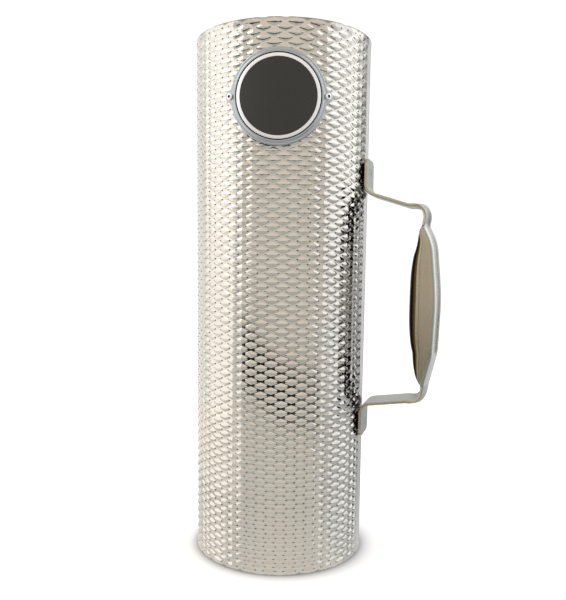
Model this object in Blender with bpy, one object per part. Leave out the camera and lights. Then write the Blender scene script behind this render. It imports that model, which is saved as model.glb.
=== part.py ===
"""Guira: a scraping tube of embossed steel sheet with a pressed strap handle and a riveted round badge.

Metres, +Z up. The tube stands on its lower rim at z = 0, the handle points to +X and the badge faces the
front. The origin is the middle of the footprint's box, so the tube's own axis lies a little towards -X.
"""

import math

import bmesh
import bpy
import numpy as np

# Tube: the outer radius is the mean outer face of the embossed sheet
TUBE_OUTER_R = 0.0515
SHEET_T = 0.0008
TUBE_H = 0.305
TUBE_SEGMENTS = 128

# Clearances between pieces that touch
SEAT_GAP = 0.0003
RIVET_GAP = 0.00015

# Handle strap: its side outline runs from the upper tip down to the lower tip along the strap's outer face.
# A reach is measured outwards from the feet's outer face. The rise is the handle's middle above the tube's.
STRAP_T = 0.0018
STRAP_W = 0.0235
FOOT_CORNER_R = 0.0045
HANDLE_RISE = 0.0035
LOWER_FOOT_LENGTH = 0.0185
LOWER_ARM_RISE = 0.0036
LOWER_KNEE_REACH = 0.0254
LOWER_CORNER_REACH = 0.0336
LOWER_NECK_RISE = 0.0110
LOWER_NECK_REACH = 0.0355
LOWER_SHOULDER_RISE = 0.0184
LOWER_SHOULDER_REACH = 0.0399
ARM_SPACING = 0.1145
UPPER_SHOULDER_REACH = 0.0378
UPPER_SHOULDER_DROP = 0.0096
UPPER_NECK_DROP = 0.0126
UPPER_NECK_REACH = 0.0330
UPPER_CORNER_REACH = 0.0351
UPPER_KNEE_REACH = 0.0236
UPPER_ARM_DROP = 0.0073
UPPER_FOOT_LENGTH = 0.0183
GRIP_REACH = 0.0409
FOOT_BEND_R = 0.005
KNEE_BEND_R = 0.008
CORNER_INNER_R = 0.0056
NECK_BEND_R = 0.006
SHOULDER_BEND_R = 0.030
GRIP_BEND_R = 0.150

# Grip section: a crowned back, rounded edges, and wings rolled in towards the tube
CROWN_H = 0.0023
WING_EDGE_INNER_R = 0.0007
WING_DEPTH = 0.0151
WING_OVERRUN = 0.0004
WING_SWELL = 0.55
ROLL_LEAST_INNER_R = 0.0008
ROLL_SHARE = 0.40
ROLL_TURN = math.radians(105)
EDGE_RESERVE = 0.0025
SECTION_SAMPLES = 24
CROWN_STEPS = 3
ROLL_STEPS = 3
BEND_STEPS = 4
RUN_STEP = 0.007

# Badge: round as seen from the front, saddled on the tube. Heights are above its seat.
BADGE_DROP = 0.0406
BADGE_ANGLE = math.radians(-76.7)
BEZEL_R = 0.0258
FLANGE_W = 0.0015
FLANGE_H = 0.0013
BEZEL_EDGE_BEVEL = 0.0005
LIP_W = 0.0007
LIP_RISE = 0.0006
LEDGE_W = 0.0044
LEDGE_H = 0.0006
GROOVE_W = 0.0007
FACE_T = 0.0005
RING_W = 0.0015
FIELD_T = 0.0003
EAR_MARGIN = 0.00075
EAR_FLARE = 0.0032
BADGE_SEGMENTS = 80
EAR_CROWDING = 0.3
FACE_RINGS = 3

# Blind rivets through the ears and the tube's wall, each with the end of its mandrel inside
RIVET_BORE_R = 0.0008
RIVET_WALL = 0.0004
RIVET_BRIM_W = 0.0006
RIVET_EDGE_H = 0.0002
RIVET_DOME_H = 0.0006
RIVET_BULB_SWELL = 0.0006
RIVET_BULB_L = 0.0015
RIVET_LIP_CLEARANCE = 0.00015
MANDREL_CLEARANCE = 0.0002
MANDREL_DEPTH = 0.0012
MANDREL_HEAD_LAP = 0.0003
MANDREL_HEAD_L = 0.0009
RIVET_SEGMENTS = 24
DOME_STEPS = 3

# Places and fits worked out from the sizes above
TUBE_INNER_R = TUBE_OUTER_R - SHEET_T
SEAT_R = TUBE_OUTER_R + SEAT_GAP
FOOT_FACE_R = SEAT_R + STRAP_T
CORNER_BEND_R = STRAP_T + CORNER_INNER_R
WING_EDGE_R = STRAP_T + WING_EDGE_INNER_R
ROLL_LEAST_R = STRAP_T + ROLL_LEAST_INNER_R

RIVET_SHANK_R = RIVET_BORE_R + RIVET_WALL
RIVET_HEAD_R = RIVET_SHANK_R + RIVET_BRIM_W
RIVET_BULB_R = RIVET_SHANK_R + RIVET_BULB_SWELL
MANDREL_R = RIVET_BORE_R - MANDREL_CLEARANCE
MANDREL_HEAD_R = RIVET_BORE_R + MANDREL_HEAD_LAP

BADGE_Z = TUBE_H - BADGE_DROP
LIP_FOOT_R = BEZEL_R - FLANGE_W
RECESS_R = LIP_FOOT_R - 2 * LIP_W
LEDGE_R = RECESS_R - LEDGE_W
FACE_R = RECESS_R - GROOVE_W
FIELD_R = FACE_R - RING_W - SEAT_GAP
LIP_H = FLANGE_H + LIP_RISE
FACE_H = LEDGE_H + SEAT_GAP
FIELD_H = FACE_H + FACE_T + SEAT_GAP
BADGE_TOP_H = FIELD_H + FIELD_T
RIVET_OFFSET = LIP_FOOT_R + RIVET_LIP_CLEARANCE + RIVET_HEAD_R
RIVET_ANGLE = math.asin(RIVET_OFFSET / (SEAT_R + FLANGE_H))
EAR_OUT = RIVET_OFFSET + RIVET_HEAD_R + EAR_MARGIN - BEZEL_R
EAR_HALF = RIVET_HEAD_R + EAR_FLARE

HANDLE_L = LOWER_FOOT_LENGTH + LOWER_ARM_RISE + ARM_SPACING + UPPER_ARM_DROP + UPPER_FOOT_LENGTH
HANDLE_BASE_Z = TUBE_H / 2 + HANDLE_RISE - HANDLE_L / 2
LOWER_BEND_Z = HANDLE_BASE_Z + LOWER_FOOT_LENGTH
LOWER_ARM_Z = LOWER_BEND_Z + LOWER_ARM_RISE
LOWER_NECK_Z = LOWER_ARM_Z + LOWER_NECK_RISE
LOWER_SHOULDER_Z = LOWER_NECK_Z + LOWER_SHOULDER_RISE
UPPER_ARM_Z = LOWER_ARM_Z + ARM_SPACING
UPPER_NECK_Z = UPPER_ARM_Z - UPPER_NECK_DROP
UPPER_SHOULDER_Z = UPPER_NECK_Z - UPPER_SHOULDER_DROP
UPPER_BEND_Z = UPPER_ARM_Z + UPPER_ARM_DROP
HANDLE_TOP_Z = UPPER_BEND_Z + UPPER_FOOT_LENGTH
GRIP_MID_Z = (UPPER_SHOULDER_Z + LOWER_SHOULDER_Z) / 2
WING_MID_Z = (UPPER_NECK_Z + LOWER_NECK_Z) / 2
WING_HALF = (UPPER_NECK_Z - LOWER_NECK_Z) / 2 + WING_OVERRUN

# Colours (linear), roughness and metallic value of each finish
FINISHES = {
    "embossed_steel": ((0.78, 0.76, 0.72), 0.22, 1.0),
    "satin_steel": ((0.60, 0.57, 0.51), 0.34, 1.0),
    "badge_grey": ((0.42, 0.44, 0.46), 0.42, 1.0),
    "badge_aluminium": ((0.82, 0.81, 0.79), 0.32, 1.0),
    "badge_charcoal": ((0.035, 0.035, 0.032), 0.50, 0.0),
    "rivet_aluminium": ((0.88, 0.87, 0.85), 0.25, 1.0),
    "mandrel_steel": ((0.16, 0.16, 0.16), 0.45, 1.0),
}
SMOOTH_ANGLE = math.radians(40)


def clear_scene():
    for old in list(bpy.data.objects):
        bpy.data.objects.remove(old, do_unlink=True)


def finish(name):
    """The named finish as a Principled material, made once."""
    found = bpy.data.materials.get(name)
    if found:
        return found
    colour, roughness, metallic = FINISHES[name]
    made = bpy.data.materials.new(name)
    made.use_nodes = True
    shader = made.node_tree.nodes["Principled BSDF"]
    shader.inputs["Base Color"].default_value = (*colour, 1.0)
    shader.inputs["Roughness"].default_value = roughness
    shader.inputs["Metallic"].default_value = metallic
    made.diffuse_color = (*colour, 1.0)
    return made


def add_empty(name, location, turn, parent):
    empty = bpy.data.objects.new(name, None)
    empty.location = location
    empty.rotation_euler = (0.0, 0.0, turn)
    empty.parent = parent
    bpy.context.collection.objects.link(empty)
    return empty


def add_piece(name, vertices, faces, finish_name, parent):
    """A named object from a mesh, with its normals outwards and round stretches shaded smooth."""
    mesh = bpy.data.meshes.new(name)
    mesh.from_pydata([tuple(v) for v in vertices], [], faces)
    work = bmesh.new()
    work.from_mesh(mesh)
    bmesh.ops.recalc_face_normals(work, faces=work.faces)
    work.to_mesh(mesh)
    work.free()
    mesh.shade_smooth()
    mesh.set_sharp_from_angle(angle=SMOOTH_ANGLE)
    mesh.materials.append(finish(finish_name))
    piece = bpy.data.objects.new(name, mesh)
    piece.parent = parent
    bpy.context.collection.objects.link(piece)
    return piece


def turned(rows, segments, crowding=0.0):
    """Vertices and faces of a profile turned about Z.

    A row is (radius, height); the radius may be a function of the angle. Rows that begin and end at radius 0
    close on the axis, and other rows close on themselves. Crowding draws the segments towards the X axis.
    """
    angles = np.linspace(0.0, 2 * math.pi, segments, endpoint=False)
    angles -= crowding * np.sin(2 * angles)
    vertices = []
    rings = []
    for radius, height in rows:
        start = len(vertices)
        if not callable(radius) and radius == 0.0:
            vertices.append((0.0, 0.0, height))
            rings.append([start] * segments)
            continue
        for angle in angles:
            r = radius(angle) if callable(radius) else radius
            vertices.append((r * math.cos(angle), r * math.sin(angle), height))
        rings.append(list(range(start, start + segments)))
    pairs = list(zip(rings, rings[1:]))
    if rings[0][0] != rings[0][1]:
        pairs.append((rings[-1], rings[0]))
    faces = []
    for low, high in pairs:
        for j in range(segments):
            k = (j + 1) % segments
            corners = [low[j], low[k], high[k], high[j]]
            faces.append(list(dict.fromkeys(corners)))
    return np.array(vertices), faces


def saddled(vertices):
    """Flat badge points laid on the tube: from the front they keep their place, and heights stay even."""
    across, up, height = vertices.T
    forward = np.sqrt((SEAT_R + height) ** 2 - across**2)
    return np.stack([forward, across, up], axis=1)


def filleted(corners):
    """Points (reach, z) along straight runs, with a round bend at each inner corner."""
    path = [np.array(corners[0][:2])]
    for before, here, after in zip(corners, corners[1:], corners[2:]):
        point = np.array(here[:2])
        into = point - np.array(before[:2])
        away = np.array(after[:2]) - point
        into /= np.linalg.norm(into)
        away /= np.linalg.norm(away)
        turn = math.atan2(into[0] * away[1] - into[1] * away[0], float(into @ away))
        radius = here[2]
        start = point - into * radius * math.tan(abs(turn) / 2)
        side = math.copysign(1.0, turn) * np.array([-into[1], into[0]])
        centre = start + side * radius
        for step in range(BEND_STEPS + 1):
            angle = turn * step / BEND_STEPS
            arm = -side * radius
            swung = np.array(
                [
                    arm[0] * math.cos(angle) - arm[1] * math.sin(angle),
                    arm[0] * math.sin(angle) + arm[1] * math.cos(angle),
                ]
            )
            path.append(centre + swung)
    path.append(np.array(corners[-1][:2]))
    return path


def strap_stations():
    """The handle's side outline as closely spaced points, with extra ones round the feet's corners."""
    corners = [
        (0.0, HANDLE_TOP_Z),
        (0.0, UPPER_BEND_Z, FOOT_BEND_R),
        (UPPER_KNEE_REACH, UPPER_ARM_Z, KNEE_BEND_R),
        (UPPER_CORNER_REACH, UPPER_ARM_Z, CORNER_BEND_R),
        (UPPER_NECK_REACH, UPPER_NECK_Z, NECK_BEND_R),
        (UPPER_SHOULDER_REACH, UPPER_SHOULDER_Z, SHOULDER_BEND_R),
        (GRIP_REACH, GRIP_MID_Z, GRIP_BEND_R),
        (LOWER_SHOULDER_REACH, LOWER_SHOULDER_Z, SHOULDER_BEND_R),
        (LOWER_NECK_REACH, LOWER_NECK_Z, NECK_BEND_R),
        (LOWER_CORNER_REACH, LOWER_ARM_Z, CORNER_BEND_R),
        (LOWER_KNEE_REACH, LOWER_ARM_Z, KNEE_BEND_R),
        (0.0, LOWER_BEND_Z, FOOT_BEND_R),
        (0.0, HANDLE_BASE_Z),
    ]
    path = filleted(corners)
    round_in = [FOOT_CORNER_R * (1 - math.cos(math.pi / 2 * k / BEND_STEPS)) for k in range(BEND_STEPS + 1)]
    upper_tip = [np.array([0.0, HANDLE_TOP_Z - d]) for d in round_in]
    lower_tip = [np.array([0.0, HANDLE_BASE_Z + d]) for d in reversed(round_in)]
    path = upper_tip + path[1:-1] + lower_tip
    dense = [path[0]]
    for point in path[1:]:
        gap = np.linalg.norm(point - dense[-1])
        pieces = max(1, math.ceil(gap / RUN_STEP))
        last = dense[-1]
        dense += [last + (point - last) * k / pieces for k in range(1, pieces + 1)]
    return np.array(dense)


def grip_section(half_width, crown, depth):
    """Half of the strap's outer face across its width, from the middle to the edge, as (across, out) points.

    The crown is a parabola. Past it the sheet turns in round the wing's edge, runs straight, and rolls in.
    A shallow wing uses up only the first stretch of that shape.
    """
    u = np.linspace(0.0, 1.0, SECTION_SAMPLES)
    across = list(half_width * u)
    out = list(crown * (1 - u**2))
    slope = math.atan2(2 * crown, half_width)
    if depth > 0.0:
        edge_depth = WING_EDGE_R * math.cos(slope)
        end = math.acos(math.cos(slope) - min(depth, edge_depth) / WING_EDGE_R)
        turn = np.linspace(slope, end, SECTION_SAMPLES)[1:]
        across += list(half_width + WING_EDGE_R * (np.sin(turn) - math.sin(slope)))
        out += list(-WING_EDGE_R * (math.cos(slope) - np.cos(turn)))
        left = depth - edge_depth
        if left > 0.0:
            roll = max(ROLL_LEAST_R, ROLL_SHARE * depth)
            straight = max(0.0, left - roll)
            turned_in = math.asin(min(1.0, left / roll))
            if straight > 0.0:
                fullest = WING_DEPTH * (1 - ROLL_SHARE) - edge_depth
                turned_in += (ROLL_TURN - math.pi / 2) * straight / fullest
            swing = np.linspace(0.0, turned_in, SECTION_SAMPLES)
            wing_across = across[-1]
            wing_out = out[-1] - straight
            across += list(wing_across - roll * (1 - np.cos(swing)))
            out += list(wing_out - roll * np.sin(swing))
    points = np.stack([across, out], axis=1)
    run = np.concatenate([[0.0], np.cumsum(np.linalg.norm(np.diff(points, axis=0), axis=1))])
    crown_run = np.interp(half_width - EDGE_RESERVE, half_width * u, run[: len(u)])
    spots = np.concatenate(
        [
            np.linspace(0.0, crown_run, CROWN_STEPS, endpoint=False),
            crown_run + (run[-1] - crown_run) * wing_shares(),
        ]
    )
    return np.interp(spots, run, points[:, 0]), np.interp(spots, run, points[:, 1])


def wing_shares():
    """Where the section's points lie past the crown, as shares of that length, read off the fullest wing."""
    slope = math.atan2(2 * CROWN_H, STRAP_W / 2)
    edge = WING_EDGE_R * (math.pi / 2 - slope)
    roll = ROLL_SHARE * WING_DEPTH
    straight = WING_DEPTH - WING_EDGE_R * math.cos(slope) - roll
    steps = [EDGE_RESERVE, edge / 2, edge / 2, straight] + [roll * ROLL_TURN / ROLL_STEPS] * ROLL_STEPS
    marks = np.cumsum([0.0] + steps)
    return marks / marks[-1]


def foot_half_width(tip_distance):
    """Half the strap's width near a tip, where the corners are rounded."""
    inward = max(0.0, FOOT_CORNER_R - tip_distance)
    return STRAP_W / 2 - FOOT_CORNER_R + math.sqrt(FOOT_CORNER_R**2 - inward**2)


def make_shell(parent):
    rows = [
        (TUBE_INNER_R, 0.0),
        (TUBE_OUTER_R, 0.0),
        (TUBE_OUTER_R, TUBE_H),
        (TUBE_INNER_R, TUBE_H),
    ]
    return add_piece("body_shell", *turned(rows, TUBE_SEGMENTS), "embossed_steel", parent)


def make_handle(parent):
    """The strap's outer face as one sheet that follows the side outline, thickened towards the tube."""
    stations = strap_stations()
    legs = np.diff(stations, axis=0)
    legs /= np.linalg.norm(legs, axis=1)[:, None]
    ahead = np.concatenate([legs[:1], legs[:-1] + legs[1:], legs[-1:]])
    ahead /= np.linalg.norm(ahead, axis=1)[:, None]
    outward = np.stack([-ahead[:, 1], ahead[:, 0]], axis=1)
    knee = max(UPPER_KNEE_REACH, LOWER_KNEE_REACH)
    neck = min(UPPER_NECK_REACH, LOWER_NECK_REACH)
    vertices = []
    for (reach, z), normal in zip(stations, outward):
        half = foot_half_width(min(HANDLE_TOP_Z - z, z - HANDLE_BASE_Z))
        rise = min(1.0, max(0.0, (reach - knee) / (neck - knee)))
        crown = CROWN_H * rise * rise * (3 - 2 * rise)
        lens = max(0.0, 1 - ((z - WING_MID_Z) / WING_HALF) ** 2)
        across, out = grip_section(half, crown, WING_DEPTH * lens**WING_SWELL)
        across = np.concatenate([-across[:0:-1], across])
        out = np.concatenate([out[:0:-1], out])
        for s, n in zip(across, out):
            vertices.append((FOOT_FACE_R + reach + normal[0] * n, s, z + normal[1] * n))
    width = len(across)
    faces = []
    for i in range(len(stations) - 1):
        for j in range(width - 1):
            corner = i * width + j
            faces.append([corner, corner + width, corner + width + 1, corner + 1])
    handle = add_piece("handle_strap", vertices, faces, "satin_steel", parent)
    wall = handle.modifiers.new("strap thickness", "SOLIDIFY")
    wall.thickness = STRAP_T
    wall.offset = -1.0
    wall.use_even_offset = True
    return handle


def make_bezel(badge):
    """The badge's frame: a ledge for the face, a raised lip, and a flange that swells into two ears."""

    def outline(inset, share=1.0):
        """The outline's radius less an inset, or a share of the way to it from the ledge."""

        def radius(angle):
            offset = BEZEL_R * math.asin(abs(math.sin(angle)))
            swell = 0.5 * (1 + math.cos(math.pi * min(1.0, offset / EAR_HALF)))
            return LEDGE_R + share * (BEZEL_R + EAR_OUT * swell - inset - LEDGE_R)

        return radius

    rows = [
        (LEDGE_R, 0.0),
        (LEDGE_R, LEDGE_H),
        (RECESS_R, LEDGE_H),
        (RECESS_R, LIP_H),
        (RECESS_R + LIP_W, LIP_H),
        (LIP_FOOT_R, FLANGE_H),
        (outline(BEZEL_EDGE_BEVEL), FLANGE_H),
        (outline(0.0), FLANGE_H - BEZEL_EDGE_BEVEL),
        (outline(0.0), 0.0),
    ]
    rows += [(outline(0.0, 1 - k / FACE_RINGS), 0.0) for k in range(1, FACE_RINGS)]
    vertices, faces = turned(rows, BADGE_SEGMENTS, EAR_CROWDING)
    return add_piece("badge_bezel", saddled(vertices), faces, "badge_grey", badge)


def disc_rows(radius, height):
    """Rows of a flat disc face from its middle to just inside its edge."""
    return [(radius * k / FACE_RINGS, height) for k in range(FACE_RINGS)]


def make_face(badge):
    """The bare disc on the ledge, with an edge ring round the recess that takes the field."""
    recess = FACE_R - RING_W
    rows = disc_rows(FACE_R, FACE_H)
    rows += [(FACE_R, FACE_H), (FACE_R, BADGE_TOP_H), (recess, BADGE_TOP_H), (recess, FACE_H + FACE_T)]
    rows += reversed(disc_rows(recess, FACE_H + FACE_T))
    vertices, faces = turned(rows, BADGE_SEGMENTS, EAR_CROWDING)
    return add_piece("badge_face", saddled(vertices), faces, "badge_aluminium", badge)


def make_inlay(badge):
    """The dark field, let into the disc's recess."""
    rows = disc_rows(FIELD_R, FIELD_H)
    rows += [(FIELD_R, FIELD_H), (FIELD_R, BADGE_TOP_H)]
    rows += reversed(disc_rows(FIELD_R, BADGE_TOP_H))
    vertices, faces = turned(rows, BADGE_SEGMENTS, EAR_CROWDING)
    return add_piece("badge_inlay", saddled(vertices), faces, "badge_charcoal", badge)


def set_radially(piece, turn):
    """A piece made along Z from the tube's axis, laid down so that it points out through the wall."""
    piece.rotation_euler = (0.0, math.pi / 2, turn)


def make_rivet(side, turn, badge):
    """A blind rivet's hollow body and, inside it, the broken-off mandrel."""
    seat = SEAT_R + FLANGE_H + RIVET_GAP
    edge = seat + RIVET_EDGE_H
    top = edge + RIVET_DOME_H
    tail = TUBE_INNER_R - RIVET_GAP
    end = tail - RIVET_BULB_L
    brim = RIVET_HEAD_R - RIVET_BORE_R
    swings = [math.pi / 2 * k / DOME_STEPS for k in range(DOME_STEPS + 1)]
    rows = [(RIVET_BORE_R + brim * math.sin(a), edge + RIVET_DOME_H * math.cos(a)) for a in swings]
    rows += [
        (RIVET_HEAD_R, seat),
        (RIVET_SHANK_R, seat),
        (RIVET_SHANK_R, tail),
        (RIVET_BULB_R, tail),
        (RIVET_BULB_R, tail - RIVET_BULB_L / 2),
        (RIVET_SHANK_R, end),
        (RIVET_BORE_R, end),
    ]
    body = add_piece(f"badge_rivet_{side}", *turned(rows, RIVET_SEGMENTS), "rivet_aluminium", badge)
    set_radially(body, turn)
    head = end - RIVET_GAP
    rows = [
        (0.0, top - MANDREL_DEPTH),
        (MANDREL_R, top - MANDREL_DEPTH),
        (MANDREL_R, head),
        (MANDREL_HEAD_R, head),
        (MANDREL_HEAD_R, head - MANDREL_HEAD_L / 2),
        (MANDREL_R, head - MANDREL_HEAD_L),
        (0.0, head - MANDREL_HEAD_L),
    ]
    mandrel = add_piece(f"badge_mandrel_{side}", *turned(rows, RIVET_SEGMENTS), "mandrel_steel", badge)
    set_radially(mandrel, turn)


def drill_rivet_hole(side, turn, badge, drilled):
    """The rivet's hole through the tube's wall and the ear."""
    radius = RIVET_SHANK_R + RIVET_GAP
    low = TUBE_INNER_R - RIVET_BULB_L
    high = SEAT_R + FLANGE_H + RIVET_EDGE_H + RIVET_DOME_H
    rows = [(0.0, low), (radius, low), (radius, high), (0.0, high)]
    drill = add_piece(f"drill_{side}", *turned(rows, RIVET_SEGMENTS), "mandrel_steel", badge)
    set_radially(drill, turn)
    drill.hide_render = True
    drill.display_type = "WIRE"
    for piece in drilled:
        cut = piece.modifiers.new(f"{side} rivet hole", "BOOLEAN")
        cut.operation = "DIFFERENCE"
        cut.solver = "EXACT"
        cut.object = drill


def axis_place():
    """Where the tube's axis stands, so that the origin is the middle of the footprint's box."""
    handle_out = FOOT_FACE_R + strap_stations()[:, 0].max() + CROWN_H
    badge_out = SEAT_R + BADGE_TOP_H
    return (TUBE_OUTER_R - handle_out) / 2, (badge_out - TUBE_OUTER_R) / 2, 0.0


def main():
    clear_scene()
    axis = add_empty("tube_axis", axis_place(), 0.0, None)
    badge = add_empty("badge_centre", (0.0, 0.0, BADGE_Z), BADGE_ANGLE, axis)
    shell = make_shell(axis)
    make_handle(axis)
    bezel = make_bezel(badge)
    make_face(badge)
    make_inlay(badge)
    for side, turn in (("left", -RIVET_ANGLE), ("right", RIVET_ANGLE)):
        make_rivet(side, turn, badge)
        drill_rivet_hole(side, turn, badge, (shell, bezel))
    bpy.context.view_layer.update()


main()
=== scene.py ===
"""Guira: the looks of the embossed tube, the strap handle and the riveted badge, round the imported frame.

Every surface is worked out with its tube standing on the origin. add_piece moves it to the tube's real axis.
"""

import math

import bpy
import numpy as np
from mathutils import Matrix, Vector


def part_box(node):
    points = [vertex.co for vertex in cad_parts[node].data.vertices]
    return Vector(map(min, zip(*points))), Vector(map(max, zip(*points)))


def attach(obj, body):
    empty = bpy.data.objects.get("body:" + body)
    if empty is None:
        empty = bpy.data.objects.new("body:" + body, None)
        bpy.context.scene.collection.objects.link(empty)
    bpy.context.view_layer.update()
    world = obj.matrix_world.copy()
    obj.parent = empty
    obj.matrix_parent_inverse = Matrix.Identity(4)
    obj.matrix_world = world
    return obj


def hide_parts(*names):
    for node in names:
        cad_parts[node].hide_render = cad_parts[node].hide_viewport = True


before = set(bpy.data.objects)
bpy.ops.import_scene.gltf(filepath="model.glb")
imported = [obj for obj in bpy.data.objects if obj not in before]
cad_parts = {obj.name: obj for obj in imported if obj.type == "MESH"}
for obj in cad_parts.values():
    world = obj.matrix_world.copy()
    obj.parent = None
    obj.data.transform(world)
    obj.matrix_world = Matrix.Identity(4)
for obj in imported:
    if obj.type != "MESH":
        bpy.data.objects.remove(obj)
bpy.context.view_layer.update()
TINY = 1e-12

# Tube, read from the frame
TUBE_LOW, TUBE_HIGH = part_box("body_shell")
TUBE_R = (TUBE_HIGH.x - TUBE_LOW.x) / 2
TUBE_H = TUBE_HIGH.z - TUBE_LOW.z
AXIS = np.array([TUBE_LOW.x + TUBE_R, TUBE_LOW.y + TUBE_R, TUBE_LOW.z])
SHEET_T = 0.0008
SEAT_GAP = 0.0003
SEAT_R = TUBE_R + SEAT_GAP
COVERED_R = SEAT_R - SEAT_GAP / 2
RIM_PLAIN = 0.0009
RIM_FADE = 0.0036
RIM_RISE = 0.0005
RIM_BEVEL = 0.00035

# Slow waves of the sheet: share of the depth, waves round the tube, turns up it, start
WAVE_DEPTH = 0.00005
SHEET_WAVES = ((1.0, 3, 11, 0.0), (0.7, 5, -17, 1.7), (0.5, 8, 26, 0.6))

# Embossing: staggered lozenges, in columns round the tube and rows up it, on a lattice of whole steps
COLUMNS = 56
ROWS = 61
COLUMN_STEPS = 2
ROW_STEPS = 4
TOP_STEP = ROW_STEPS * ROWS
KEY_SPAN = 2 * TOP_STEP
FIRST_COLUMN = math.radians(-66.57)
ROW_SHIFT = -0.0006
ROW_SHIFT_FADE = 0.012
LAND_DEPTH = 0.0004
LAND_R = TUBE_R - LAND_DEPTH
RELIEF = 0.0007
EMBOSS_SEED = 11
RELIEF_SPREAD = 0.04
APEX_SPREAD = 0.04

# One lozenge, in lattice steps from its apex, and the numbers of its points after the apex
SHOULDER_AT = 1.06
SHOULDER_HEIGHT = 0.45
TIP_AT = 1.28
CORNER_AT = (1.20, 0.62)
TOP_AT = 1.64
SHOULDERS = [1, 2]
TIPS = [3, 4]
CORNERS = [5, 6, 7, 8]

# Easing of the lozenges' normals at their creases, as shares of the neighbours' direction
SLOPE_GAIN = 1.45
APEX_ROUND = 0.65
RIDGE_ROUND = 0.55
FLANK_ROUND = 0.45
TIP_ROUND = 0.30
FOOT_ROUND = 0.12
VALLEY_ROUND = 0.90
LINING_ROUND = 1.5

# Tube's painted shade: where a point value starts and ends to darken the steel, and how dark it gets. It
# darkens the rims' edges, the lozenges' tips, a band under the lower ridges and the valleys between the
# lozenges.
SHOULDER_PAINTED_SHADE = 0.85
CORNER_PAINTED_SHADE = 0.4
TUBE_PAINTED_SHADES = (("edge", 0.10, 0.60, 0.50), ("tip", 0.61, 0.86, 0.18), ("ridge", 0.5, 1.0, 0.82),
               ("painted_valley_shade", 0.70, 1.0, 0.90))

# Seam: a plain margin with a weld bead, which wanders by sums of (size, length, start)
SEAM_ANGLE = math.radians(3.5)
SEAM_HALF = 0.0085
SEAM_FADE = 0.0012
SEAM_RISE = 0.0002
BEAD_HALF = 0.0011
BEAD_H = 0.00012
BEAD_SINK = 0.00006
BEAD_ROOT = 0.0003
BEAD_WANDERS = ((0.00012, 0.011, 0.0), (0.0001, 0.0043, 1.0))
BEAD_ROWS = 620
BEAD_COLUMNS = 11
BEAD_CREASE = math.radians(50)
RIPPLE_H = 0.000025
RIPPLE_STEP = 0.0016
RIPPLE_BOW = 0.35

# Handle strap, by its outer face: reaches are outwards from the feet, heights up from the lower tip
STRAP_LOW, STRAP_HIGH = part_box("handle_strap")
STRAP_T = 0.0018
STRAP_W = 0.0235
STRAP_EDGE_R = 0.00035
STRAP_CREASE = math.radians(35)
FOOT_FACE_R = SEAT_R + STRAP_T
FOOT_CORNER_R = 0.0045
LOWER_TIP_Z = STRAP_LOW.z
UPPER_TIP_Z = STRAP_HIGH.z
LOWER_BEND_Z = LOWER_TIP_Z + 0.0185
LOWER_ARM_Z = LOWER_BEND_Z + 0.0036
LOWER_NECK_Z = LOWER_ARM_Z + 0.0110
LOWER_SHOULDER_Z = LOWER_NECK_Z + 0.0184
UPPER_BEND_Z = UPPER_TIP_Z - 0.0183
UPPER_ARM_Z = UPPER_BEND_Z - 0.0073
UPPER_NECK_Z = UPPER_ARM_Z - 0.0126
UPPER_SHOULDER_Z = UPPER_NECK_Z - 0.0096
GRIP_MID_Z = (UPPER_SHOULDER_Z + LOWER_SHOULDER_Z) / 2
UPPER_KNEE_REACH, UPPER_CORNER_REACH, UPPER_NECK_REACH = 0.0236, 0.0351, 0.0330
LOWER_KNEE_REACH, LOWER_CORNER_REACH, LOWER_NECK_REACH = 0.0254, 0.0336, 0.0355
UPPER_SHOULDER_REACH, GRIP_REACH, LOWER_SHOULDER_REACH = 0.0378, 0.0409, 0.0399
FOOT_BEND_R, KNEE_BEND_R, CORNER_BEND_R = 0.005, 0.008, 0.0074
NECK_BEND_R, SHOULDER_BEND_R, GRIP_BEND_R = 0.006, 0.030, 0.150
CROWN_H = 0.0023
CROWN_FROM = max(UPPER_KNEE_REACH, LOWER_KNEE_REACH)
CROWN_FULL_AT = min(UPPER_NECK_REACH, LOWER_NECK_REACH)
WING_EDGE_R = 0.0025
WING_DEPTH = 0.0151
WING_SWELL = 0.55
WING_MID_Z = (UPPER_NECK_Z + LOWER_NECK_Z) / 2
WING_OVERRUN = 0.0004
WING_HALF = (UPPER_NECK_Z - LOWER_NECK_Z) / 2 + WING_OVERRUN
ROLL_SHARE = 0.40
ROLL_FULL_AT = 0.62
ROLL_TURN = math.radians(105)
STRAP_STEP = 0.0011
BEND_POINTS = 24
FOOT_CORNER_POINTS = 9
CROWN_POINTS, WING_EDGE_POINTS, ROLL_POINTS = 40, 20, 30
SECTION_POINTS = 34
EDGE_ARC_POINTS = 4

# Weld marks: dents in the feet, each in a raised ring whose place and width are shares of the mark's radius
FOOT_FLAT_REACH = 0.0001
WELD_MARK_SHIFT = 0.002
WELD_MARK_R = 0.0024
WELD_MARK_DEPTH = 0.00016
WELD_RING_SHARE, WELD_RING_AT, WELD_RING_WIDE = 0.5, 1.25, 0.3
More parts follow.
